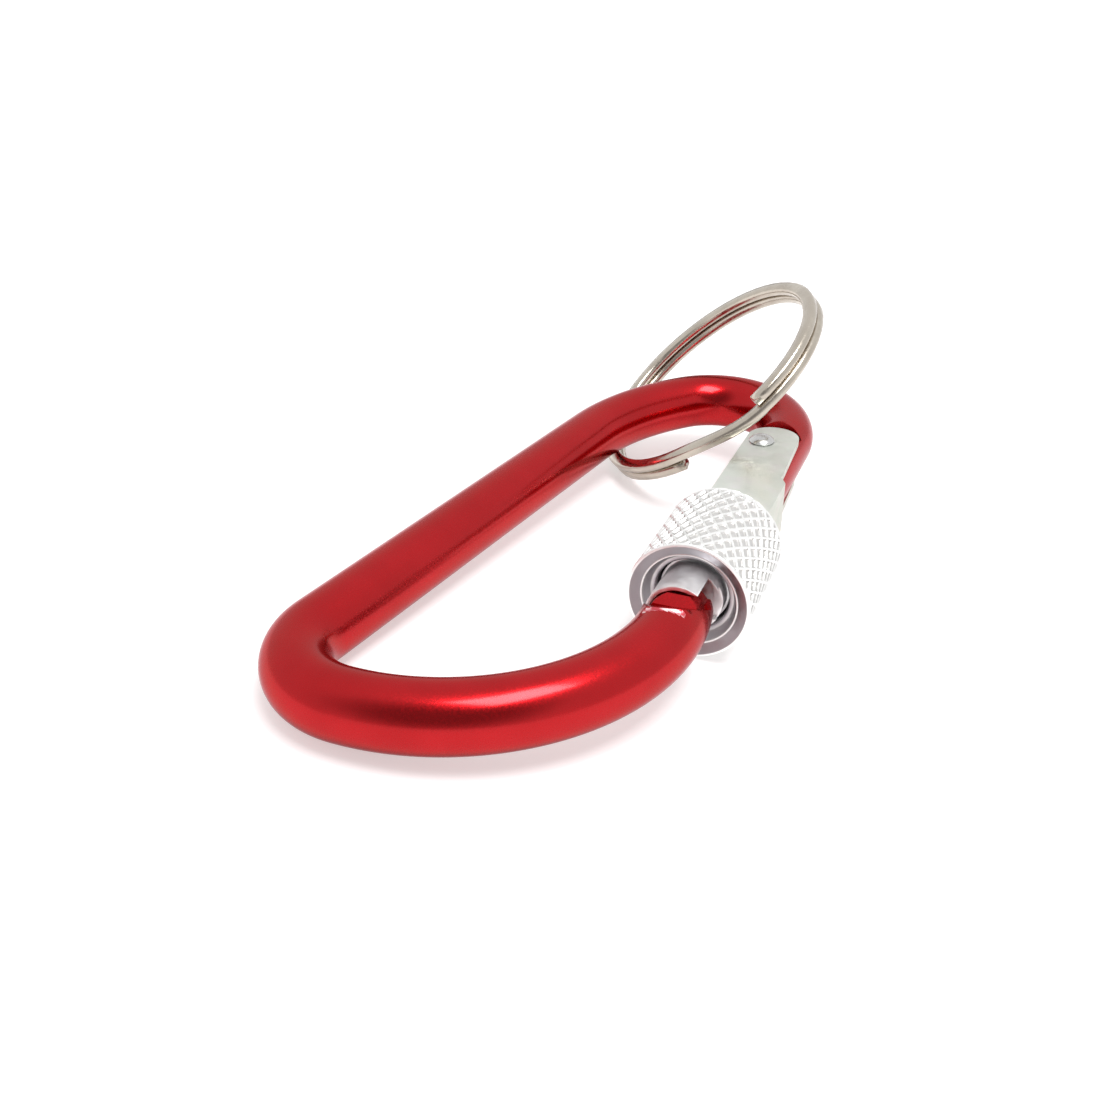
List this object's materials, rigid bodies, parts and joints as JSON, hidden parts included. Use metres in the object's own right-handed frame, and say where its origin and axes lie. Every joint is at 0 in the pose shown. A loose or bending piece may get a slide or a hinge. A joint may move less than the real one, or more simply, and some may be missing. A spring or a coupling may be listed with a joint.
{
  "type": "screw lock carabiner keyring",
  "caption": "Round-rod snap hook with a sprung gate, a knurled locking sleeve over the gate tube and a split ring threaded on its narrow end.",
  "frame": {"origin": "centre of the clip eye, in the middle of the rod's plane at the wide end", "axes": "+Y along the spine towards the split ring, +X from the spine towards the gate, +Z square to the plane of the rod"},
  "size_m": [0.0343, 0.084, 0.0207],
  "materials": {
    "frame": "satin red anodised",
    "gate": "zinc plated, slightly green",
    "rivet": "plated, satin",
    "sleeve": "bright, knurled",
    "plunger": "satin",
    "spring": "bright",
    "split_ring": "nickel plated"
  },
  "bodies": {
    "frame": {"frame": "frame", "rivet": "rivet"},
    "gate": {"gate": "gate", "spring": "spring"},
    "sleeve": {"sleeve": "sleeve"},
    "plunger": {"plunger": "plunger"},
    "split_ring": {"split_ring": "split_ring"}
  },
  "joints": [
    {"name": "gate_hinge", "type": "hinge", "parent": "frame", "child": "gate", "pos_m": [0.00619, 0.04256, 0], "axis": [0, 0, -1], "range_deg": [0, 25], "stiffness_Nm_per_rad": 0.02, "springref_deg": -20.05},
    {"name": "sleeve_slide", "type": "slide", "parent": "gate", "child": "sleeve", "axis": [0.1461, -0.9893, 0], "range_m": [0, 0.0025]},
    {"name": "plunger_slide", "type": "slide", "parent": "gate", "child": "plunger", "axis": [0.1461, -0.9893, 0], "range_m": [0, 0.0007], "deforming": ["spring"]},
    {"name": "ring_swing", "type": "hinge", "parent": "frame", "child": "split_ring", "pos_m": [-0.01259, 0.04453, 0], "axis": [0.1753, 0.9845, 0], "range_deg": [-60, 0]}
  ],
  "couplings": [
    {"joint": "plunger_slide", "follows": "gate_hinge", "m_per_rad": 0.0016}
  ]
}
